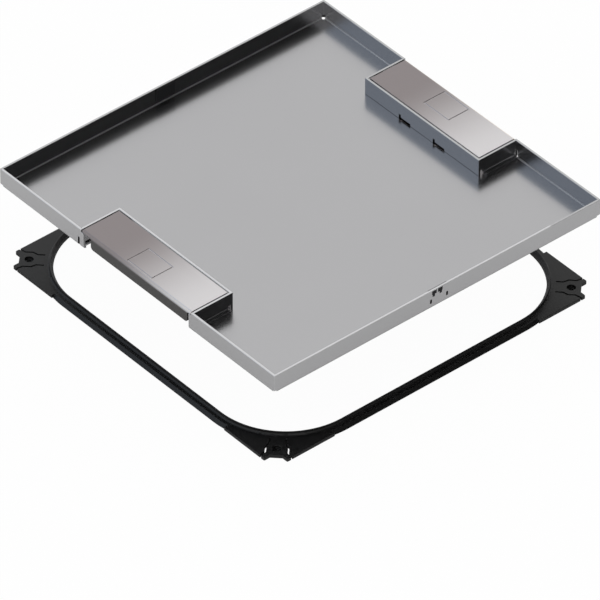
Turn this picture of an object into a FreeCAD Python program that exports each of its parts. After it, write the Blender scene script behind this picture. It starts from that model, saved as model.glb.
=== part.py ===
import FreeCAD, Part
import math
import os

# Floor box cover: a folded steel tray for the floor finish, with a hinged cord lid in its front
# and rear sides, lifted above the moulded ring that it is set down on. Millimetres, +Z up,
# X along the lids. The origin is the middle of the ring's underside.

# Tray, one folded sheet
TRAY_SIDE = 350.0
TRAY_HEIGHT = 18.5
SHEET = 2.0
FOLD_RADIUS = 1.0
CORNER_RELIEF_RADIUS = 1.5
CORNER_NOTCH_RADIUS = 3.5
LIFT = 72.95

# Cord bays in the front and rear sides of the tray
BAY_LENGTH = 140.0
BAY_DEPTH = 40.8
STOP_LENGTH = 3.0
FLOOR_LEDGE = 1.0
HINGE_LEDGE = 6.0
SEAM_WIDTH = 2.1
SEAM_DROP = 9.0
SEAM_RELIEF = 1.0

# Bracket round three sides of each bay: a hinge wall and two end walls on foot flanges
FLANGE_REACH = 3.8
RELIEF_LENGTH = 3.3
RELIEF_HEIGHT = 5.0
OUTER_RELIEF_LENGTH = 1.2
FOOT_SLOT_LENGTH = 14.5
FOOT_SLOT_HEIGHT = 2.2
FOOT_SLOT_PITCH = 43.0
FOOT_NOTCH_WIDTH = 2.4
FOOT_NOTCH_HEIGHT = 2.6

# Lids, bent sheet
LID_INNER_GAP = 1.1
LID_END_GAP = 1.0
LID_REST_GAP = 0.3
LIP_HEIGHT = 12.6
LIP_LONG_CUT = 11.4
LIP_SHORT_CUT = 3.6
LIP_ROUND = 3.0
PAD_LENGTH = 31.5
PAD_WIDTH = 23.0
PAD_FROM_EDGE = 15.6
PAD_GROOVE_WIDTH = 0.8
PAD_GROOVE_DEPTH = 0.4

# Hinge of each lid
PIVOT_FROM_EDGE = 12.0
PIN_RADIUS = 1.5
PIN_CLEARANCE = 0.05
PIN_HEADROOM = 0.3
PIN_OVERHANG = 0.5
LUG_THICKNESS = 2.0
LUG_WALL = 2.5

# Plastic clips at the middle of the plain sides
CLIP_WIDTH = 20.0
CLIP_THICKNESS = 1.0
CLIP_DROP = 0.6
CLIP_FOOT = 3.2
NUB_SET_BACK = 0.2
CLIP_FIT = 0.1
WINDOW_WIDTH = 5.0
WINDOW_HEIGHT = 3.6
WINDOW_DROP = 0.8
WINDOW_WEB = 1.3
WINDOW_SHIFT = -1.9
TAIL_WIDTH = 2.6
TAIL_HEIGHT = 2.3
TAIL_INSET = 0.6
SLIT_WIDTH = 2.0
SLIT_HEIGHT = 4.0
SLIT_DROP = 8.8
SLIT_PITCH = 17.2

# Moulded ring
RING_SIDE = 349.0
RING_BAND = 10.2
RING_THICKNESS = 3.2
RING_INNER_RADIUS = 67.2
RIDGE_HEIGHT = 3.4
RIDGE_RAMP_WIDTH = 2.2
RIDGE_RAMP_HEIGHT = 3.1
RIDGE_CREST = 0.9
RIDGE_FOOT_RADIUS = 2.0
FLANK_RUN = 2.6
FLANK_FOOT = 0.4
CORNER_PLATE = 64.0
SCREW_HOLE_RADIUS = 1.95
SCREW_HEAD_RADIUS = 3.8
SCREW_HEAD_DEPTH = 2.2
SCREW_HOLE_INSET = 15.5
TIP_CUT = 13.3
TIP_NOTCH = 6.0
PRONG_ROUND = 1.2
TONGUE_SLIT = 1.3
TONGUE_NECK_DEPTH = 1.6
TONGUE_HALF_WIDTH = 9.4
TONGUE_NECK_HALF_WIDTH = 6.7
TONGUE_FLARE_END = 17.7
TONGUE_WIDE_END = 24.5
TONGUE_NECK_START = 28.5
TONGUE_NECK_END = 34.4
PRONG_WIDTH = 4.5

# Places worked out from the sizes above
OVERCUT = 5.0
TOLERANCE = 1e-4
TRAY_HALF = TRAY_SIDE / 2
FOLD_OUTSIDE = FOLD_RADIUS + SHEET
BAY_HALF = BAY_LENGTH / 2
HINGE_FACE = TRAY_HALF - BAY_DEPTH
HINGE_BACK = HINGE_FACE - SHEET
RIDGE_Z = RING_THICKNESS + RIDGE_HEIGHT
TRAY_Z = RIDGE_Z + LIFT
FLOOR_Z = TRAY_Z + SHEET
RIM_Z = TRAY_Z + TRAY_HEIGHT
LID_HALF = BAY_HALF - LID_END_GAP
LID_EDGE = HINGE_FACE + LID_INNER_GAP
PIVOT_Y = LID_EDGE + PIVOT_FROM_EDGE
PIVOT_Z = RIM_Z - SHEET - PIN_HEADROOM - PIN_RADIUS
LUG_RADIUS = PIN_RADIUS + LUG_WALL
RING_HALF = RING_SIDE / 2
RING_OPENING = RING_HALF - RING_BAND
RING_FLAT = RING_OPENING - RING_INNER_RADIUS


def vec(x, y, z):
    return FreeCAD.Vector(x, y, z)


def block(x0, x1, y0, y1, z0, z1):
    return Part.makeBox(x1 - x0, y1 - y0, z1 - z0, vec(x0, y0, z0))


def arc(start, middle, end):
    return Part.Arc(start, middle, end).toShape()


def solid_of(edges, direction):
    """The solid swept by a closed outline along a direction."""
    return Part.Face(Part.Wire(edges)).extrude(direction)


def round_bottom(solid, radius):
    """A block with its four bottom edges rounded, as folds leave them."""
    lowest = solid.BoundBox.ZMin + TOLERANCE
    return solid.makeFillet(radius, [edge for edge in solid.Edges if edge.BoundBox.ZMax < lowest])


def half_turn(shape):
    """The same shape at the opposite side of the cover."""
    turned = shape.copy()
    turned.rotate(vec(0, 0, 0), vec(0, 0, 1), 180)
    return turned


def mirror_x(shape):
    return shape.mirror(vec(0, 0, 0), vec(1, 0, 0))


def pivot_cylinder(radius, x0, x1):
    return Part.makeCylinder(radius, x1 - x0, vec(x0, -PIVOT_Y, PIVOT_Z), vec(1, 0, 0))


def bay_opening():
    """What the front bay takes out of the folded pan. The outer wall runs on past its ends as lid stops."""
    inner_face = TRAY_HALF - SHEET
    fold_end = TRAY_HALF - FOLD_OUTSIDE
    floor_half = BAY_HALF - FLOOR_LEDGE
    stop = BAY_HALF - STOP_LENGTH
    y0 = -TRAY_HALF - OVERCUT
    low = TRAY_Z - OVERCUT
    top = RIM_Z + OVERCUT
    floor = block(-floor_half, floor_half, -fold_end, -HINGE_FACE - HINGE_LEDGE, low, top)
    wall = block(-stop, stop, y0, -fold_end, low, top)
    seat = block(-BAY_HALF, BAY_HALF, y0, -inner_face, RIM_Z - SHEET - LID_REST_GAP, top)
    seam_end = -BAY_HALF - SHEET
    seam = block(seam_end - SEAM_WIDTH, seam_end, y0, -fold_end + SEAM_RELIEF, low, RIM_Z - SEAM_DROP)
    return floor.fuse([wall, seat, seam])


def pin_bore():
    return pivot_cylinder(PIN_RADIUS, -BAY_HALF - SHEET, BAY_HALF + SHEET)


def clip_windows(x0, x1, fit):
    """The two windows in the right side wall, each with a tail below, drawn in by a fit on all sides."""
    top = RIM_Z - WINDOW_DROP
    bottom = top - WINDOW_HEIGHT
    pieces = []
    for side in (-1, 1):
        inner = WINDOW_WEB / 2
        outer = inner + WINDOW_WIDTH
        tail = outer - TAIL_INSET
        spans = [(inner, outer, bottom, top), (tail - TAIL_WIDTH, tail, bottom - TAIL_HEIGHT, top)]
        shapes = []
        for near, far, z0, z1 in spans:
            y0, y1 = sorted((WINDOW_SHIFT + side * near, WINDOW_SHIFT + side * far))
            shapes.append(block(x0, x1, y0 + fit, y1 - fit, z0 + fit, z1 - fit))
        pieces.append(shapes[0].fuse(shapes[1]))
    return pieces


def clip_openings():
    """Windows and slits in the middle of the right side wall."""
    x0 = TRAY_HALF - SHEET - OVERCUT
    x1 = TRAY_HALF + OVERCUT
    cuts = clip_windows(x0, x1, 0)
    top = RIM_Z - SLIT_DROP
    for middle in (-SLIT_PITCH / 2, SLIT_PITCH / 2):
        cuts.append(block(x0, x1, middle - SLIT_WIDTH / 2, middle + SLIT_WIDTH / 2, top - SLIT_HEIGHT, top))
    return cuts


def finish_bed():
    """The upper half of the floor between the brackets, where the floor finish is laid."""
    half = TRAY_HALF - FOLD_OUTSIDE
    return block(-half, half, -HINGE_BACK, HINGE_BACK, FLOOR_Z - SHEET / 2, FLOOR_Z)


def tray_pan():
    """The folded pan. The bed for the floor finish is marked off in its floor as a face of its own."""
    half = TRAY_HALF
    inner = TRAY_HALF - SHEET
    outside = round_bottom(block(-half, half, -half, half, TRAY_Z, RIM_Z), FOLD_OUTSIDE)
    recess = round_bottom(block(-inner, inner, -inner, inner, FLOOR_Z, RIM_Z + OVERCUT), FOLD_RADIUS)
    opening = bay_opening()
    pan = outside.cut(recess).cut([opening, half_turn(opening)])
    cuts = []
    for cut in clip_openings():
        cuts += [cut, half_turn(cut)]
    relief = TRAY_HALF - FOLD_OUTSIDE
    height = SHEET + FOLD_RADIUS
    for radius, place in ((CORNER_RELIEF_RADIUS, relief), (CORNER_NOTCH_RADIUS, half)):
        for x in (-place, place):
            for y in (-place, place):
                cuts.append(Part.makeCylinder(radius, height + OVERCUT, vec(x, y, TRAY_Z - OVERCUT)))
    bed = finish_bed()
    return pan.cut(cuts).removeSplitter().cut(bed).fuse(bed)


def end_wall():
    """The right end wall of the front bracket. Its foot is folded outwards between two relief notches."""
    near = BAY_HALF
    far = BAY_HALF + SHEET
    flange_end = far + FLANGE_REACH
    centre_x = BAY_HALF + FOLD_OUTSIDE
    centre_z = FLOOR_Z + FOLD_OUTSIDE
    outer_end = -TRAY_HALF + SHEET
    y0 = outer_end + OUTER_RELIEF_LENGTH
    y1 = -HINGE_FACE - RELIEF_LENGTH
    inner = FOLD_RADIUS * math.sqrt(0.5)
    outer = FOLD_OUTSIDE * math.sqrt(0.5)
    p = [vec(near, y0, RIM_Z), vec(far, y0, RIM_Z), vec(far, y0, centre_z)]
    p += [vec(centre_x, y0, FLOOR_Z + SHEET), vec(flange_end, y0, FLOOR_Z + SHEET)]
    p += [vec(flange_end, y0, FLOOR_Z), vec(centre_x, y0, FLOOR_Z), vec(near, y0, centre_z)]
    outline = [Part.makeLine(p[0], p[1]), Part.makeLine(p[1], p[2])]
    outline.append(arc(p[2], vec(centre_x - inner, y0, centre_z - inner), p[3]))
    outline += [Part.makeLine(p[3], p[4]), Part.makeLine(p[4], p[5]), Part.makeLine(p[5], p[6])]
    outline.append(arc(p[6], vec(centre_x - outer, y0, centre_z - outer), p[7]))
    outline.append(Part.makeLine(p[7], p[0]))
    folded = solid_of(outline, vec(0, y1 - y0, 0))
    return folded.fuse(block(near, far, outer_end, -HINGE_FACE, FLOOR_Z + RELIEF_HEIGHT, RIM_Z))


def bay_bracket():
    """The walls round the front bay: a hinge wall with slots at its foot, and an end wall at each end."""
    far = BAY_HALF + SHEET
    wall = block(-far, far, -HINGE_FACE, -HINGE_BACK, FLOOR_Z, RIM_Z)
    y0 = -HINGE_FACE - OVERCUT
    y1 = -HINGE_BACK + OVERCUT
    cuts = [pin_bore()]
    for middle in (-FOOT_SLOT_PITCH / 2, FOOT_SLOT_PITCH / 2):
        x0 = middle - FOOT_SLOT_LENGTH / 2
        x1 = middle + FOOT_SLOT_LENGTH / 2
        slot_top = FLOOR_Z + FOOT_SLOT_HEIGHT
        cuts.append(block(x0, x1, y0, y1, FLOOR_Z, slot_top))
        cuts.append(block(x1 - FOOT_NOTCH_WIDTH, x1, y0, y1, FLOOR_Z, slot_top + FOOT_NOTCH_HEIGHT))
    end = end_wall()
    return wall.fuse([end, mirror_x(end)]).cut(cuts).removeSplitter()


def lip_outline():
    """The front of the lid's lip, seen along Y: cut back at both ends, with rounded lower corners."""
    left = -(LID_HALF - LIP_LONG_CUT)
    right = LID_HALF - LIP_SHORT_CUT
    low = RIM_Z - LIP_HEIGHT
    y0 = -TRAY_HALF - OVERCUT
    slope = LIP_ROUND * (1 - math.sqrt(0.5))
    p = [vec(left, y0, RIM_Z), vec(left, y0, low + LIP_ROUND), vec(left + LIP_ROUND, y0, low)]
    p += [vec(right - LIP_ROUND, y0, low), vec(right, y0, low + LIP_ROUND), vec(right, y0, RIM_Z)]
    outline = [Part.makeLine(p[0], p[1]), arc(p[1], vec(left + slope, y0, low + slope), p[2])]
    outline += [Part.makeLine(p[2], p[3]), arc(p[3], vec(right - slope, y0, low + slope), p[4])]
    outline += [Part.makeLine(p[4], p[5]), Part.makeLine(p[5], p[0])]
    return solid_of(outline, vec(0, OVERCUT + FOLD_OUTSIDE, 0))


def lid_sheet():
    """The front lid's flat plate with its outer edge rolled down into the lip."""
    x0 = -LID_HALF
    y0 = -TRAY_HALF
    y1 = -TRAY_HALF + SHEET
    bend_y = -TRAY_HALF + FOLD_OUTSIDE
    bend_z = RIM_Z - FOLD_OUTSIDE
    low = RIM_Z - LIP_HEIGHT
    outer = FOLD_OUTSIDE * math.sqrt(0.5)
    inner = FOLD_RADIUS * math.sqrt(0.5)
    p = [vec(x0, -LID_EDGE, RIM_Z), vec(x0, bend_y, RIM_Z), vec(x0, y0, bend_z), vec(x0, y0, low)]
    p += [vec(x0, y1, low), vec(x0, y1, bend_z), vec(x0, bend_y, RIM_Z - SHEET)]
    p.append(vec(x0, -LID_EDGE, RIM_Z - SHEET))
    outline = [Part.makeLine(p[0], p[1]), arc(p[1], vec(x0, bend_y - outer, bend_z + outer), p[2])]
    outline += [Part.makeLine(p[2], p[3]), Part.makeLine(p[3], p[4]), Part.makeLine(p[4], p[5])]
    outline += [arc(p[5], vec(x0, bend_y - inner, bend_z + inner), p[6])]
    outline += [Part.makeLine(p[6], p[7]), Part.makeLine(p[7], p[0])]
    sheet = solid_of(outline, vec(2 * LID_HALF, 0, 0))
    below = block(-BAY_HALF, BAY_HALF, y0 - OVERCUT, bend_y, low - OVERCUT, RIM_Z - SHEET)
    return sheet.cut(below.cut(lip_outline()))


def lid_lug():
    """The lug under the right end of the front lid that turns on the hinge pin."""
    x0 = LID_HALF - LUG_THICKNESS
    top = RIM_Z - SHEET
    p = [vec(x0, -PIVOT_Y - LUG_RADIUS, top), vec(x0, -PIVOT_Y - LUG_RADIUS, PIVOT_Z)]
    p += [vec(x0, -PIVOT_Y, PIVOT_Z - LUG_RADIUS), vec(x0, -PIVOT_Y + LUG_RADIUS, PIVOT_Z)]
    p.append(vec(x0, -PIVOT_Y + LUG_RADIUS, top))
    outline = [Part.makeLine(p[0], p[1]), arc(p[1], p[2], p[3])]
    outline += [Part.makeLine(p[3], p[4]), Part.makeLine(p[4], p[0])]
    return solid_of(outline, vec(LUG_THICKNESS, 0, 0))


def cord_lid():
    lug = lid_lug()
    lid = lid_sheet().fuse([lug, mirror_x(lug)])
    half_length = PAD_LENGTH / 2
    half_width = PAD_WIDTH / 2
    middle = -TRAY_HALF + PAD_FROM_EDGE
    z0 = RIM_Z - PAD_GROOVE_DEPTH
    groove = block(-half_length, half_length, middle - half_width, middle + half_width, z0, RIM_Z + OVERCUT)
    half_length -= PAD_GROOVE_WIDTH
    half_width -= PAD_GROOVE_WIDTH
    land = block(-half_length, half_length, middle - half_width, middle + half_width, z0, RIM_Z + OVERCUT)
    bore = pivot_cylinder(PIN_RADIUS + PIN_CLEARANCE, -BAY_HALF, BAY_HALF)
    return lid.cut([groove.cut(land), bore]).removeSplitter()


def hinge_pin():
    """The right pin of the front lid, flush with the end wall that it is pressed into."""
    return pivot_cylinder(PIN_RADIUS, LID_HALF - LUG_THICKNESS - PIN_OVERHANG, BAY_HALF + SHEET)


def side_clip():
    """The clip behind the right side's windows, with a nub in each."""
    back = TRAY_HALF - SHEET
    body = block(back - CLIP_THICKNESS, back, -CLIP_WIDTH / 2, CLIP_WIDTH / 2,
                 FLOOR_Z + CLIP_FOOT, RIM_Z - CLIP_DROP)
    return body.fuse(clip_windows(back, TRAY_HALF - NUB_SET_BACK, CLIP_FIT)).removeSplitter()


def rounded_square(half, radius, z):
    """A closed wire: a square with its corners rounded."""
    flat = half - radius
    slope = radius * math.sqrt(0.5)
    edges = []
    for turn in range(4):
        quarter = FreeCAD.Rotation(vec(0, 0, 1), 90 * turn)
        start = quarter.multVec(vec(half, -flat, z))
        bend = quarter.multVec(vec(half, flat, z))
        middle = quarter.multVec(vec(flat + slope, flat + slope, z))
        end = quarter.multVec(vec(flat, half, z))
        edges += [Part.makeLine(start, bend), arc(bend, middle, end)]
    return Part.Wire(edges)


def rounded_block(half, radius, z0, z1):
    return Part.Face(rounded_square(half, radius, z0)).extrude(vec(0, 0, z1 - z0))


def corner_point(inward, sideways, z):
    """A point by its distance inward along the diagonal from the ring's corner, and to one side."""
    inward_step = inward * math.sqrt(0.5)
    side_step = sideways * math.sqrt(0.5)
    return vec(RING_HALF - inward_step + side_step, RING_HALF - inward_step - side_step, z)


def slit_along(route, side, z0):
    """A slit of the tongue's width along a route on one side of the diagonal, upwards from a height."""
    points = [corner_point(inward, side * sideways, z0) for inward, sideways in route]
    height = RING_THICKNESS + OVERCUT - z0
    solids = [Part.makeCylinder(TONGUE_SLIT / 2, height, point) for point in points]
    for start, end in zip(points, points[1:]):
        across = (end - start).cross(vec(0, 0, 1)).normalize() * (TONGUE_SLIT / 2)
        corners = [start + across, end + across, end - across, start - across, start + across]
        solids.append(Part.Face(Part.makePolygon(corners)).extrude(vec(0, 0, height)))
    return solids[0].fuse(solids[1:])


def tongue_slit(side):
    """One wavy slit beside the screw tongue. It goes right through as far as the neck, then is a groove."""
    edge = (TIP_CUT + PRONG_WIDTH) * math.sqrt(0.5)
    run_out = TONGUE_SLIT
    route = [(edge - run_out, edge + run_out), (TONGUE_FLARE_END, TONGUE_HALF_WIDTH)]
    route += [(TONGUE_WIDE_END, TONGUE_HALF_WIDTH), (TONGUE_NECK_START, TONGUE_NECK_HALF_WIDTH)]
    neck = [route[-1], (TONGUE_NECK_END, TONGUE_NECK_HALF_WIDTH)]
    return slit_along(route, side, -OVERCUT).fuse(slit_along(neck, side, RING_THICKNESS - TONGUE_NECK_DEPTH))


def corner_cuts():
    """What is cut from one corner plate: its tip, the screw hole with the head's seat, and the two slits."""
    far = RING_HALF + OVERCUT
    tip = [vec(far, far, -OVERCUT), vec(RING_HALF - TIP_CUT, far, -OVERCUT)]
    tip.append(vec(RING_HALF - TIP_CUT, RING_HALF - TIP_NOTCH, -OVERCUT))
    tip.append(vec(RING_HALF - TIP_NOTCH, RING_HALF - TIP_CUT, -OVERCUT))
    tip.append(vec(far, RING_HALF - TIP_CUT, -OVERCUT))
    height = RING_THICKNESS + 2 * OVERCUT
    notch = Part.Face(Part.makePolygon(tip + tip[:1])).extrude(vec(0, 0, height))
    screw = RING_HALF - SCREW_HOLE_INSET
    hole = Part.makeCylinder(SCREW_HOLE_RADIUS, height, vec(screw, screw, -OVERCUT))
    seat = Part.makeCylinder(SCREW_HEAD_RADIUS, height, vec(screw, screw, RING_THICKNESS - SCREW_HEAD_DEPTH))
    return notch.fuse([hole, seat, tongue_slit(-1), tongue_slit(1)])


def prong_edges(ring):
    """The upright edges at the outer ends of the prongs."""
    reach = RING_HALF - TIP_CUT
    found = []
    for edge in ring.Edges:
        box = edge.BoundBox
        upright = box.XLength < TOLERANCE and box.YLength < TOLERANCE
        spread = sorted((abs(box.XMin), abs(box.YMin)))
        if upright and abs(spread[0] - reach) < TOLERANCE and abs(spread[1] - RING_HALF) < TOLERANCE:
            found.append(edge)
    return found


def ring_section():
    """The section of the ring's right bar: a ridge with a ramp on its inside, and a sloping outer flank."""
    crest = RING_OPENING + RIDGE_RAMP_WIDTH
    wall = crest + RIDGE_CREST
    foot_z = RING_THICKNESS + RIDGE_FOOT_RADIUS
    foot_x = wall + RIDGE_FOOT_RADIUS
    hollow = RIDGE_FOOT_RADIUS * math.sqrt(0.5)
    p = [vec(RING_OPENING, 0, 0), vec(RING_OPENING, 0, RIDGE_Z - RIDGE_RAMP_HEIGHT), vec(crest, 0, RIDGE_Z)]
    p += [vec(wall, 0, RIDGE_Z), vec(wall, 0, foot_z), vec(foot_x, 0, RING_THICKNESS)]
    p.append(vec(RING_HALF - FLANK_RUN, 0, RING_THICKNESS))
    p += [vec(RING_HALF, 0, FLANK_FOOT), vec(RING_HALF, 0, 0)]
    outline = [Part.makeLine(a, b) for a, b in zip(p[:4], p[1:5])]
    outline.append(arc(p[4], vec(foot_x - hollow, 0, foot_z - hollow), p[5]))
    outline += [Part.makeLine(a, b) for a, b in zip(p[5:], p[6:] + p[:1])]
    return Part.Face(Part.Wire(outline))


def ring_band():
    """The section run along four straight bars and round four corners."""
    section = ring_section()
    pieces = []
    for turn in range(4):
        bar = section.translated(vec(0, -RING_FLAT, 0)).extrude(vec(0, 2 * RING_FLAT, 0))
        bend = section.translated(vec(0, RING_FLAT, 0))
        bend = bend.revolve(vec(RING_FLAT, RING_FLAT, 0), vec(0, 0, 1), 90)
        for piece in (bar, bend):
            piece.rotate(vec(0, 0, 0), vec(0, 0, 1), 90 * turn)
            pieces.append(piece)
    return pieces[0].fuse(pieces[1:])


def mounting_ring():
    inside = RING_HALF - CORNER_PLATE
    plate = block(inside, RING_HALF, inside, RING_HALF, 0, RING_THICKNESS)
    plate = plate.cut(rounded_block(RING_OPENING, RING_INNER_RADIUS, -OVERCUT, RING_THICKNESS + OVERCUT))
    cut = corner_cuts()
    plates = []
    cuts = []
    for turn in range(4):
        placement = FreeCAD.Placement(vec(0, 0, 0), FreeCAD.Rotation(vec(0, 0, 1), 90 * turn))
        plates.append(plate.transformed(placement.toMatrix()))
        cuts.append(cut.transformed(placement.toMatrix()))
    ring = ring_band().fuse(plates).cut(cuts).removeSplitter()
    return ring.makeFillet(PRONG_ROUND, prong_edges(ring))


def write(name, shape):
    if len(shape.Solids) != 1 or not shape.isValid():
        raise ValueError(name + " isn't one valid solid")
    shape.Solids[0].exportStep(os.path.join("parts", name + ".step"))


os.makedirs("parts", exist_ok=True)
write("tray_pan", tray_pan())
write("mounting_ring", mounting_ring())
for name, piece in (("bay_bracket", bay_bracket()), ("lid", cord_lid())):
    write("front_" + name, piece)
    write("rear_" + name, half_turn(piece))
pin = hinge_pin()
for end, piece in (("right", pin), ("left", mirror_x(pin))):
    write("front_" + end + "_pin", piece)
    write("rear_" + end + "_pin", piece.mirror(vec(0, 0, 0), vec(0, 1, 0)))
clip = side_clip()
write("right_clip", clip)
write("left_clip", half_turn(clip))
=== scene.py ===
import bmesh
import bpy
import math
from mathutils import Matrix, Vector


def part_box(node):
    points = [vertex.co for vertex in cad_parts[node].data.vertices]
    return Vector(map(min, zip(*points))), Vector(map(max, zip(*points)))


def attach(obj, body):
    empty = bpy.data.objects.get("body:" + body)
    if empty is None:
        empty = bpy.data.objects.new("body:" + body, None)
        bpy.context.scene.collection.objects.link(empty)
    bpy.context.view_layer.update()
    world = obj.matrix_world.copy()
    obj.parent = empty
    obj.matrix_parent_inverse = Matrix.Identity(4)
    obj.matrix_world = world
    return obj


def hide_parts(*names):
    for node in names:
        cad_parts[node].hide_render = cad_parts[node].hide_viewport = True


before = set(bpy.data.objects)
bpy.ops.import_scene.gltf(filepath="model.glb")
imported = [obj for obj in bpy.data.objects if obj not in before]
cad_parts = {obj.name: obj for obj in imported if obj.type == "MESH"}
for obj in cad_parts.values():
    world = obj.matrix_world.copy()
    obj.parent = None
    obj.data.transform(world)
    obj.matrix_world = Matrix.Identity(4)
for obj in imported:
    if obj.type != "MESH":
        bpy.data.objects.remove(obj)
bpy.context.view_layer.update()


# Mounting ring. The black frame that is screwed to the floor box, with a ridge that carries the
# cover. It is one injection moulding in filled plastic: its faces have the mould's fine spark
# texture, and its edges are slightly broken.
RING_EDGE = 0.00025
RING_BLACK = (0.003, 0.0029, 0.0029, 1)
RING_WORN = (0.007, 0.0068, 0.0069, 1)
RING_GLOSS = 0.41
MOULDED_ROUGHNESS = 0.40
CLOUD_SCALE = 38.0
SPARK_SCALE = 2600.0
SPARK_DEPTH = 0.00004
SPARK_STRENGTH = 0.35
WEAR_START = 0.25
WEAR_FULL = 0.95
MERGE_DISTANCE = 1e-6
FLAT_ANGLE = math.radians(0.4)
SHARP_ANGLE = math.radians(28)
EDGE_SEGMENTS = 2
ROUND_PROFILE = 0.5
FLAT_FACE_WEIGHT = 100


def evaluated_mesh(piece):
    """The mesh that an object's modifiers make."""
    graph = bpy.context.evaluated_depsgraph_get()
    return bpy.data.meshes.new_from_object(piece.evaluated_get(graph))


def within_any(point, boxes):
    """Whether a point lies in one of some boxes."""
    return any(all(low[i] <= point[i] <= high[i] for i in range(3)) for low, high in boxes)


def finished_copy(node, name, edge, finish, left_sharp=()):
    """A merged copy of a solid with its sharp edges broken, but for those within some boxes."""
    work = bmesh.new()
    work.from_mesh(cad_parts[node].data)
    bmesh.ops.remove_doubles(work, verts=work.verts, dist=MERGE_DISTANCE)
    bmesh.ops.dissolve_limit(work, angle_limit=FLAT_ANGLE, verts=work.verts, edges=work.edges)
    mark = work.faces.layers.float.new("broken_edge")
    sharp = []
    for line in work.edges:
        middle = (line.verts[0].co + line.verts[1].co) / 2
        folded = line.is_manifold and line.calc_face_angle() > SHARP_ANGLE
        if folded and not within_any(middle, left_sharp):
            sharp.append(line)
    made = bmesh.ops.bevel(work, geom=sharp, offset=edge, offset_type="OFFSET",
                           segments=EDGE_SEGMENTS, profile=ROUND_PROFILE, affect="EDGES",
                           clamp_overlap=False)
    for face in made["faces"]:
        face[mark] = 1.0
    # Where edges meet at a narrow angle, the bevel can throw a point past the solid's own box.
    low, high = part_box(node)
    for point in work.verts:
        point.co = [min(max(point.co[i], low[i]), high[i]) for i in range(3)]
    mesh = bpy.data.meshes.new(name)
    work.to_mesh(mesh)
    work.free()
    mesh.shade_smooth()
    piece = bpy.data.objects.new(name, mesh)
    bpy.context.scene.collection.objects.link(piece)
    weighted = piece.modifiers.new("flat_faces", "WEIGHTED_NORMAL")
    weighted.weight = FLAT_FACE_WEIGHT
    flat = evaluated_mesh(piece)
    piece.modifiers.remove(weighted)
    piece.data = flat
    flat.name = name
    flat.materials.append(finish)
    return piece


class Shade:
    """A socket in a node tree. Arithmetic with sockets and numbers adds Math nodes."""

    def __init__(self, tree, socket):
        self.tree = tree
        self.socket = socket

    def node(self, kind, settings, inputs, output=0):
        """Any other node: its settings come first, then the values or links of its sockets."""
        made = self.tree.nodes.new(kind)
        for name, value in settings.items():
            setattr(made, name, value)
        for name, value in inputs.items():
            if isinstance(value, Shade):
                self.tree.links.new(value.socket, made.inputs[name])
            else:
                made.inputs[name].default_value = value
        return Shade(self.tree, made.outputs[output])

    def math(self, operation, *values):
        inputs = dict(enumerate((self,) + values))
        return self.node("ShaderNodeMath", {"operation": operation}, inputs)

    def __add__(self, other):
        return self.math("ADD", other)

    def __mul__(self, other):
        return self.math("MULTIPLY", other)

    def __sub__(self, other):
        return self.math("SUBTRACT", other)

    def __rsub__(self, other):
        return (self * -1.0).math("ADD", other)

    __radd__ = __add__
    __rmul__ = __mul__

    def axis(self, letter):
        """One axis of these coordinates."""
        return self.node("ShaderNodeSeparateXYZ", {}, {"Vector": self}, letter)

    def noise(self, scale, detail):
        """Cloudy noise from 0 to 1 on these coordinates. The scale is per metre."""
        inputs = {"Vector": self, "Scale": scale, "Detail": detail}
        return self.node("ShaderNodeTexNoise", {}, inputs)

    def stretched(self, factors):
        """The coordinates multiplied axis by axis."""
        return self.node("ShaderNodeVectorMath", {"operation": "MULTIPLY"}, {0: self, 1: factors})

    def step(self, low, high):
        """A smooth step from 0 at low to 1 at high, which may be the smaller of the two."""
        settings = {"interpolation_type": "SMOOTHSTEP"}
        inputs = {"Value": self, "From Min": low, "From Max": high}
        return self.node("ShaderNodeMapRange", settings, inputs)

    def band(self, start, end, blend):
        """1 between start and end and 0 outside, with a smooth step at each end."""
        return self.step(start, start + blend) * self.step(end, end - blend)

    def between(self, first, second):
        """The colour that lies this far from the first to the second."""
        return self.node("ShaderNodeMix", {"data_type": "RGBA"}, {0: self, 6: first, 7: second}, 2)

    def bump(self, strength, distance):
        """The normals of a surface with this relief."""
        inputs = {"Height": self, "Strength": strength, "Distance": distance}
        return self.node("ShaderNodeBump", {}, inputs)

    def feed(self, target, name):
        self.tree.links.new(self.socket, target.inputs[name])


def new_finish(name):
    """A material, its shader, its Object coordinates and its mark of broken edges."""
    material = bpy.data.materials.new(name)
    material.use_nodes = True
    tree = material.node_tree
    place = Shade(tree, tree.nodes.new("ShaderNodeTexCoord").outputs["Object"])
    edge = place.node("ShaderNodeAttribute", {"attribute_name": "broken_edge"}, {}, "Fac")
    return material, tree.nodes["Principled BSDF"], place, edge


def moulded_plastic(name, black, worn, gloss):
    """Black plastic with the mould's spark texture, a little paler where it is handled."""
    material, shader, place, edge = new_finish(name)
    cloud = place.noise(CLOUD_SCALE, 3.0)
    spark = place.noise(SPARK_SCALE, 2.0)
    wear = (cloud * 0.6 + edge * 0.5).step(WEAR_START, WEAR_FULL)
    wear.between(black, worn).feed(shader, "Base Color")
    roughness = MOULDED_ROUGHNESS + 0.10 * cloud + 0.06 * spark - 0.08 * edge
    roughness.feed(shader, "Roughness")
    spark.bump(SPARK_STRENGTH, SPARK_DEPTH).feed(shader, "Normal")
    shader.inputs["Specular IOR Level"].default_value = gloss
    return material


ring_plastic = moulded_plastic("ring_black_plastic", RING_BLACK, RING_WORN, RING_GLOSS)
ring = finished_copy("mounting_ring", "mounting_ring_moulding", RING_EDGE, ring_plastic)
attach(ring, "cover_and_ring")
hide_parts("mounting_ring")


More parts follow.
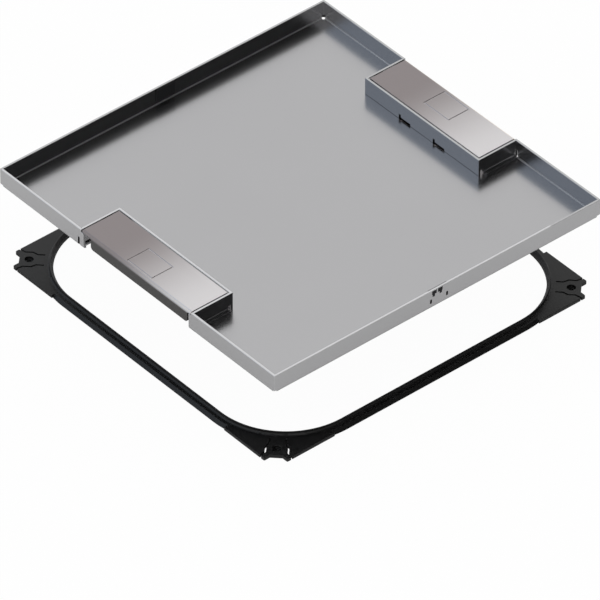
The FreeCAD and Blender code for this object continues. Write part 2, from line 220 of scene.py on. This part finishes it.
# Tray pan and bay brackets. The pan is laser cut from one stainless sheet and folded up on four
# sides. A folded bracket of the same sheet is spot welded round each bay. The rolled faces are
# satin, and the cut edges along the rim are linished bright.
SHEET = 0.002
SHEET_EDGE = 0.0002
SATIN_LIGHT = (0.459, 0.458, 0.464, 1)
SATIN_DARK = (0.428, 0.427, 0.434, 1)
SATIN_ROUGHNESS = 0.20
ROLLING = (30.0, 1400.0, 1400.0)
ROLLING_DEPTH = 0.00002
ROLLING_STRENGTH = 0.06
PATCH_SCALE = 9.0
BRIGHT_CUT = (0.64, 0.64, 0.65, 1)
SHADED_CUT = (0.49, 0.49, 0.495, 1)
RIM_SHADE_BACK = 0.12
RIM_SHADE_LEFT = -0.174
RIM_SHADE_BLEND = 0.002
HEAT_TINT_AND_SHADE = (0.012, 0.012, 0.014, 1)
PAN_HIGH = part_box("tray_pan")[1]
RIM_TOP = PAN_HIGH.z
RIM_BAND = 0.0004
BRACKET_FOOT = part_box("rear_bay_bracket")[0]
SLOT_SHADE_DEPTH = 0.0052
SLOT_SHADE_HEIGHT = 0.0049
TINT_BLEND = 0.0002
SLOT_SHADE_END = 0.06
FOOT_LINE_HEIGHT = 0.0004
FOOT_LINE_DEPTH = 0.0022
FOOT_LINE_END = 0.072
FOOT_LINE_TINT = 0.75
FOLD_WIDTH = 0.0031
FOLD_HEIGHT = 0.0009
FOLD_LINE = PAN_HIGH.x - FOLD_WIDTH
FOLD_LINE_BLEND = 0.0004
FOLD_TOP = BRACKET_FOOT.z + FOLD_HEIGHT
FOLD_TOP_BLEND = 0.0003
FOLD_ROUGHNESS = 0.30
WALL_OUTSIDE = PAN_HIGH.y
WALL_INSIDE = WALL_OUTSIDE - SHEET
SEAM_START = 0.0716
SEAM_END = 0.0745
SEAM_DROP = 0.0089
SEAM_TOP = RIM_TOP - SEAM_DROP
PIN_NODES = ("front_left_pin", "front_right_pin", "rear_left_pin", "rear_right_pin")


def satin_sheet(name):
    """Satin steel: bright at the rim, dark with heat in the laser-cut seams, with a dark joint line
    at each hinge wall's welded foot and painted shade in the slots there.

    The rear and left rims are painted duller than the others: painted shade that follows the light.
    """
    material, shader, place, edge = new_finish(name)
    across, deep, height = [place.axis(letter) for letter in "XYZ"]
    side = across.math("ABSOLUTE")
    far = deep.math("ABSOLUTE")
    wall = BRACKET_FOOT.y
    foot = BRACKET_FOOT.z
    # Painted shade: a band behind each hinge wall's front face, as high as its foot slots, is
    # painted near black for the shade inside the bay.
    slot_shade = far.band(wall + TINT_BLEND / 2, wall + SLOT_SHADE_DEPTH, TINT_BLEND)
    slot_shade *= height.step(foot + SLOT_SHADE_HEIGHT, foot + SLOT_SHADE_HEIGHT - TINT_BLEND)
    slot_shade *= side.step(SLOT_SHADE_END, SLOT_SHADE_END - TINT_BLEND)
    foot_line = far.band(wall - TINT_BLEND, wall + FOOT_LINE_DEPTH, TINT_BLEND)
    foot_line *= height.step(foot + FOOT_LINE_HEIGHT, foot + FOOT_LINE_HEIGHT / 2)
    foot_line *= side.step(FOOT_LINE_END, FOOT_LINE_END - TINT_BLEND)
    seam = side.band(SEAM_START, SEAM_END + TINT_BLEND, TINT_BLEND)
    seam *= far.band(WALL_INSIDE, WALL_OUTSIDE, TINT_BLEND)
    seam *= height.step(SEAM_TOP + TINT_BLEND, SEAM_TOP)
    tint_and_shade = (slot_shade + FOOT_LINE_TINT * foot_line + seam).math("MINIMUM", 1.0)
    fold = side.math("MAXIMUM", far).step(FOLD_LINE, FOLD_LINE + FOLD_LINE_BLEND)
    fold *= height.step(FOLD_TOP, FOLD_TOP - FOLD_TOP_BLEND)
    rim = height.step(RIM_TOP - RIM_BAND, RIM_TOP - RIM_BAND / 2)
    rolling = place.stretched(ROLLING).noise(1.0, 2.0)
    patch = place.noise(PATCH_SCALE, 3.0)
    satin = (0.7 * patch + 0.3 * rolling).between(SATIN_DARK, SATIN_LIGHT)
    # Painted shade: the rear and left rims take a duller copy of the bright cut colour.
    rim_shade = deep.step(RIM_SHADE_BACK, RIM_SHADE_BACK + RIM_SHADE_BLEND)
    rim_shade = rim_shade.math("MAXIMUM", across.step(RIM_SHADE_LEFT + RIM_SHADE_BLEND, RIM_SHADE_LEFT))
    bare = (rim + 0.5 * edge).math("MINIMUM", 1.0)
    steel = bare.between(satin, rim_shade.between(BRIGHT_CUT, SHADED_CUT))
    tint_and_shade.between(steel, HEAT_TINT_AND_SHADE).feed(shader, "Base Color")
    roughness = SATIN_ROUGHNESS + 0.04 * patch + 0.03 * rolling + FOLD_ROUGHNESS * fold
    roughness.feed(shader, "Roughness")
    rolling.bump(ROLLING_STRENGTH, ROLLING_DEPTH).feed(shader, "Normal")
    shader.inputs["Metallic"].default_value = 1.0
    return material


tray_satin = satin_sheet("tray_satin_steel")
pin_ends = []
for node in PIN_NODES:
    low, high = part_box(node)
    margin = Vector((SHEET_EDGE, SHEET_EDGE, SHEET_EDGE))
    pin_ends.append((low - margin, high + margin))
for node in ("tray_pan", "front_bay_bracket", "rear_bay_bracket"):
    sheet = finished_copy(node, node + "_sheet", SHEET_EDGE, tray_satin, pin_ends)
    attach(sheet, "cover_and_ring")
    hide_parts(node)


# Side clips. Small mouldings in black plastic behind the middle of the two plain sides. Each lies
# flat on the wall's inner face, and its nubs snap into windows in the wall.
CLIP_EDGE = 0.00015
CLIP_BLACK = (0.015, 0.015, 0.016, 1)
CLIP_WORN = (0.021, 0.021, 0.022, 1)
CLIP_GLOSS = 0.08

clip_plastic = moulded_plastic("clip_black_plastic", CLIP_BLACK, CLIP_WORN, CLIP_GLOSS)
for node in ("left_clip", "right_clip"):
    clip = finished_copy(node, node + "_moulding", CLIP_EDGE, clip_plastic)
    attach(clip, "cover_and_ring")
    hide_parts(node)


# Hinge pins. Short turned steel pins, pressed into the brackets' end walls, that the lids swing on.
# All four are alike, so one node tree turns them on their seats.
PIN_CHAMFER = 0.00004
PIN_SIDES = 48
PIN_LIGHT = (0.46, 0.46, 0.465, 1)
PIN_DARK = (0.43, 0.43, 0.435, 1)
PIN_ROUGHNESS = 0.20
TURNING = (5200.0, 60.0, 60.0)
TURNING_DEPTH = 0.00002
TURNING_STRENGTH = 0.15


def turned_steel(name):
    """Bright turned steel, with the lathe's fine rings."""
    material, shader, place, _ = new_finish(name)
    lathe = place.stretched(TURNING).noise(1.0, 1.0)
    lathe.between(PIN_DARK, PIN_LIGHT).feed(shader, "Base Color")
    (PIN_ROUGHNESS + 0.06 * lathe).feed(shader, "Roughness")
    lathe.bump(TURNING_STRENGTH, TURNING_DEPTH).feed(shader, "Normal")
    shader.inputs["Metallic"].default_value = 1.0
    return material


def pin_turning(name, finish):
    """A node tree that turns a chamfered pin along X on each vertex of a mesh."""
    tree = bpy.data.node_groups.new(name, "GeometryNodeTree")
    tree.interface.new_socket("Seats", in_out="INPUT", socket_type="NodeSocketGeometry")
    for size in ("Radius", "Length", "Chamfer"):
        tree.interface.new_socket(size, in_out="INPUT", socket_type="NodeSocketFloat")
    tree.interface.new_socket("Pins", in_out="OUTPUT", socket_type="NodeSocketGeometry")
    given = tree.nodes.new("NodeGroupInput").outputs
    seats, radius, length, chamfer = [Shade(tree, given[i]) for i in range(4)]
    # The pin's outline has four points, 0 to 3: 1 and 2 are the inner ends of the chamfers.
    number = seats.node("GeometryNodeInputIndex", {}, {})
    inner = number.math("COMPARE", 1.5, 0.6)
    far_half = number.math("GREATER_THAN", 1.5)
    along = far_half * length + inner * chamfer * (1.0 - 2.0 * far_half)
    place = seats.node("ShaderNodeCombineXYZ", {}, {"X": along})
    line = seats.node("GeometryNodeCurvePrimitiveLine", {}, {})
    line = seats.node("GeometryNodeResampleCurve", {}, {"Curve": line, "Count": 4})
    line = seats.node("GeometryNodeSetPosition", {}, {"Geometry": line, "Position": place})
    width = radius - chamfer + chamfer * inner
    inputs = {"Resolution": PIN_SIDES, "Radius": 1.0}
    circle = seats.node("GeometryNodeCurvePrimitiveCircle", {}, inputs)
    inputs = {"Curve": line, "Profile Curve": circle, "Scale": width, "Fill Caps": True}
    turned = seats.node("GeometryNodeCurveToMesh", {}, inputs)
    placed = seats.node("GeometryNodeInstanceOnPoints", {}, {"Points": seats, "Instance": turned})
    solid = seats.node("GeometryNodeRealizeInstances", {}, {"Geometry": placed})
    solid = seats.node("GeometryNodeSetMaterial", {}, {"Geometry": solid, "Material": finish})
    solid.feed(tree.nodes.new("NodeGroupOutput"), "Pins")
    return tree


pin_boxes = [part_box(node) for node in PIN_NODES]
pin_size = pin_boxes[0][1] - pin_boxes[0][0]
seats = [(low.x, (low.y + high.y) / 2, (low.z + high.z) / 2) for low, high in pin_boxes]
mesh = bpy.data.meshes.new("hinge_pins_turned")
mesh.from_pydata(seats, [], [])
pins = bpy.data.objects.new("hinge_pins_turned", mesh)
bpy.context.scene.collection.objects.link(pins)
turning = pins.modifiers.new("pin_turning", "NODES")
turning.node_group = pin_turning("pin_turning", turned_steel("pin_turned_steel"))
sizes = {"Radius": pin_size.z / 2, "Length": pin_size.x, "Chamfer": PIN_CHAMFER}
for socket in turning.node_group.interface.items_tree:
    if socket.name in sizes:
        turning[socket.identifier] = sizes[socket.name]
solid = evaluated_mesh(pins)
pins.modifiers.remove(turning)
pins.data = solid
solid.name = "hinge_pins_turned"
solid.materials.pop(index=0)
solid.shade_smooth()
solid.set_sharp_from_angle(angle=SHARP_ANGLE)
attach(pins, "cover_and_ring")
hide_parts(*PIN_NODES)


# Cord lids. Each is bent from brushed stainless sheet: a flat plate with a shallow rectangle
# marked on it, and an outer edge rolled down into a lip that stops the cords from being pinched.
# The plate's colour, from dark to pale along the lid, is a painted reflection of the light.
LID_EDGE = 0.0002
LID_PAINTED_DARK = (0.278, 0.2485, 0.2485, 1)
LID_PAINTED_PALE = (0.68, 0.662, 0.665, 1)
LID_ROUGHNESS = 0.30
BRUSHING = (22.0, 2600.0, 2600.0)
BRUSHING_DEPTH = 0.00002
BRUSHING_STRENGTH = 0.10
LID_PATCH_SCALE = 16.0
PAINTED_DARK_END = -0.03
PAINTED_PALE_END = 0.076
GROOVE_PALE = (0.5, 0.475, 0.475, 1)
# Depths below the rim where a tone starts, is full, starts to fade and ends.
GROOVE_DEPTHS = (0.00012, 0.0002, 0.0006, 0.0008)
ROLL_REFLECTION_TINT = (1.28, 1.17, 1.02, 1)
ROLL_DEPTHS = (0.00005, 0.0004, 0.0009, 0.0015)
ROLL_WIDTH = 0.003
ROLL_START = -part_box("front_lid")[0].y - ROLL_WIDTH
ROLL_BLEND = 0.0005
LIP_PAINTED_SHADE = (0.082, 0.08, 0.079, 1)
LIP_START = 0.0011
LIP_DROP = 0.0032
LID_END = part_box("front_lid")[1].x
CUT_START = 0.0003
CUT_FULL = 0.0001
CUT_ROUGHNESS = 0.45


def brushed_sheet(name):
    """Brushed steel, pale in the groove, with painted light: a painted reflection from dark to pale
    along the lid, a painted warm tint on the roll and painted shade on the lip below it.
    """
    material, shader, place, edge = new_finish(name)
    along = place.axis("X")
    far = place.axis("Y").math("ABSOLUTE")
    height = place.axis("Z")

    def at_depths(start, full, fading, end):
        down = height.step(RIM_TOP - start, RIM_TOP - full)
        return down * height.step(RIM_TOP - end, RIM_TOP - fading)

    strokes = place.stretched(BRUSHING).noise(1.0, 3.0)
    patch = place.noise(LID_PATCH_SCALE, 2.0)
    # Painted reflection: the plate's colour runs from dark to pale along X, standing in for the
    # sheen that the light gives.
    painted_reflection = (along + 0.012 * patch + 0.004 * strokes).step(PAINTED_DARK_END, PAINTED_PALE_END)
    top = painted_reflection.between(LID_PAINTED_DARK, LID_PAINTED_PALE)
    outer = far.step(ROLL_START - ROLL_BLEND, ROLL_START)
    groove = at_depths(*GROOVE_DEPTHS) * (1.0 - outer)
    top = groove.between(top, GROOVE_PALE)
    # Painted reflection: the roll's colour is multiplied by a warm tint, so that the blue-grey
    # card's reflection in it shows neutral and brighter.
    roll = at_depths(*ROLL_DEPTHS) * outer
    settings = {"data_type": "RGBA", "blend_type": "MULTIPLY"}
    top = roll.node("ShaderNodeMix", settings, {0: roll, 6: top, 7: ROLL_REFLECTION_TINT}, 2)
    # Painted shade: the lip below the roll is painted dark.
    shaded_lip = height.step(RIM_TOP - LIP_START, RIM_TOP - LIP_DROP) * outer
    shaded_lip.between(top, LIP_PAINTED_SHADE).feed(shader, "Base Color")
    cut = along.math("ABSOLUTE").step(LID_END - CUT_START, LID_END - CUT_FULL)
    roughness = LID_ROUGHNESS + 0.05 * strokes - 0.06 * edge + CUT_ROUGHNESS * cut
    roughness.feed(shader, "Roughness")
    strokes.bump(BRUSHING_STRENGTH, BRUSHING_DEPTH).feed(shader, "Normal")
    shader.inputs["Metallic"].default_value = 1.0
    return material


lid_brushed = brushed_sheet("lid_brushed_steel")
for node in ("front_lid", "rear_lid"):
    lid = finished_copy(node, node + "_sheet", LID_EDGE, lid_brushed)
    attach(lid, node)
    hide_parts(node)


# Studio. A white table under even white light. A black card, a blue-grey one and a small flag near
# the rear lid's end show only as reflections in the steel. Small dark sheets on the table under the
# ring's screw holes are painted shade, which keeps the holes dark.
TABLE_HALF = 6.0
TABLE_Z = -0.0003
TABLE_WHITE = (0.81, 0.81, 0.81, 1)
SHOWN_WHITE = 0.965
REFLECTED_WHITE = 0.05
MATT = 0.9
SCREW_PLACE = 0.159
HOLE_SHADE_HALF = 0.004
HOLE_SHADE_BLACK = (0.01, 0.01, 0.01, 1)
COVER_CENTRE = Vector((0, 0, 0.09))
RIGHT_REAR = Vector((0.594, 0.504, 0.627))
LEFT_FRONT = Vector((-0.594, -0.504, 0.627))
RIGHT_FRONT = Vector((0.594, -0.504, 0.627))
CARD_DISTANCE = 2.4
BLACK_HALF = 2.0
BLUE_GREY_HALF = 1.7
CARD_BLACK = (0.03, 0.03, 0.03, 1)
CARD_BLUE_GREY = (0.64, 0.72, 0.84, 1)
REAR_LID_END = Vector((0.074, 0.171, 0.085))
FLAG_DISTANCE = 0.25
FLAG_HALF = 0.09


def flat_square(name, half):
    """A square sheet for the stage, which faces up until it is turned."""
    mesh = bpy.data.meshes.new(name)
    corners = [(-half, -half, 0), (half, -half, 0), (half, half, 0), (-half, half, 0)]
    mesh.from_pydata(corners, [], [(0, 1, 2, 3)])
    square = bpy.data.objects.new(name, mesh)
    bpy.context.scene.collection.objects.link(square)
    return square


table = flat_square("white_table", TABLE_HALF)
table.location.z = TABLE_Z
table_white = bpy.data.materials.new("table_white")
table_white.use_nodes = True
tree = table_white.node_tree
paint = tree.nodes["Principled BSDF"]
paint.inputs["Base Color"].default_value = TABLE_WHITE
paint.inputs["Roughness"].default_value = MATT
paint.inputs["Specular IOR Level"].default_value = 0.0
glow = tree.nodes.new("ShaderNodeEmission")
ray = tree.nodes.new("ShaderNodeLightPath").outputs
mirrored = Shade(tree, ray["Is Glossy Ray"]) + Shade(tree, ray["Is Transmission Ray"])
share = SHOWN_WHITE * Shade(tree, ray["Is Camera Ray"]) + REFLECTED_WHITE * mirrored
shown = tree.nodes.new("ShaderNodeMixShader")
share.feed(shown, 0)
tree.links.new(paint.outputs[0], shown.inputs[1])
tree.links.new(glow.outputs[0], shown.inputs[2])
tree.links.new(shown.outputs[0], tree.nodes["Material Output"].inputs["Surface"])
table.data.materials.append(table_white)

# Painted shade: dark sheets on the table under the screw holes keep the holes dark.
hole_shade_sheet = bpy.data.materials.new("hole_shade_sheet")
hole_shade_sheet.use_nodes = True
paint = hole_shade_sheet.node_tree.nodes["Principled BSDF"]
paint.inputs["Base Color"].default_value = HOLE_SHADE_BLACK
paint.inputs["Roughness"].default_value = MATT
for corner, (x, y) in enumerate(((-1, -1), (1, -1), (1, 1), (-1, 1))):
    shade_sheet = flat_square("dark_paper_%d" % corner, HOLE_SHADE_HALF)
    shade_sheet.location = (x * SCREW_PLACE, y * SCREW_PLACE, TABLE_Z / 2)
    shade_sheet.data.materials.append(hole_shade_sheet)

cards = (
    ("black_card", COVER_CENTRE, RIGHT_REAR, CARD_DISTANCE, BLACK_HALF, CARD_BLACK),
    ("blue_grey_card", COVER_CENTRE, LEFT_FRONT, CARD_DISTANCE, BLUE_GREY_HALF, CARD_BLUE_GREY),
    ("small_flag", REAR_LID_END, RIGHT_FRONT, FLAG_DISTANCE, FLAG_HALF, CARD_BLACK),
)
for name, centre, direction, distance, half, colour in cards:
    card = flat_square(name, half)
    facing = direction.normalized()
    card.location = centre + facing * distance
    card.rotation_euler = facing.to_track_quat("Z", "Y").to_euler()
    dye = bpy.data.materials.new(name)
    dye.use_nodes = True
    tree = dye.node_tree
    glow = tree.nodes.new("ShaderNodeEmission")
    glow.inputs["Color"].default_value = colour
    tree.links.new(glow.outputs[0], tree.nodes["Material Output"].inputs["Surface"])
    card.data.materials.append(dye)
    card.visible_camera = False
    card.visible_diffuse = False
    card.visible_transmission = False
    card.visible_shadow = False

world = bpy.data.worlds.new("even_white")
world.use_nodes = True
sky = world.node_tree.nodes["Background"]
sky.inputs["Color"].default_value = (1, 1, 1, 1)
sky.inputs["Strength"].default_value = 1.0
bpy.context.scene.world = world
bpy.context.scene.view_settings.view_transform = "Standard"


# Camera. A long lens that looks down on the cover's front corner, far enough away that the edges
# stay nearly parallel, aimed below the cover so that the ring shows under it.
AZIMUTH = math.radians(49.69)
ELEVATION = math.radians(38.85)
FOCAL_PIXELS = 10465.0
PICTURE_PIXELS = 600.0
SENSOR_WIDTH = 36.0
FAR_CLIP = 100.0
RIM_DISTANCE = 8.593
RIM_LEFT_OF_MIDDLE = 0.26
RIM_ABOVE_MIDDLE = 116.04

back = Vector((math.sin(AZIMUTH) * math.cos(ELEVATION), -math.cos(AZIMUTH) * math.cos(ELEVATION),
               math.sin(ELEVATION)))
right = Vector((math.cos(AZIMUTH), math.sin(AZIMUTH), 0))
up = back.cross(right)
aim = -back + right * (RIM_LEFT_OF_MIDDLE / FOCAL_PIXELS) - up * (RIM_ABOVE_MIDDLE / FOCAL_PIXELS)
lens = bpy.data.cameras.new("long_lens")
lens.sensor_width = SENSOR_WIDTH
lens.lens = FOCAL_PIXELS / PICTURE_PIXELS * SENSOR_WIDTH
lens.clip_end = FAR_CLIP
camera = bpy.data.objects.new("long_lens", lens)
camera.location = Vector((0, 0, RIM_TOP)) + back * RIM_DISTANCE
camera.rotation_euler = aim.to_track_quat("-Z", "Y").to_euler()
bpy.context.scene.collection.objects.link(camera)
bpy.context.scene.camera = camera
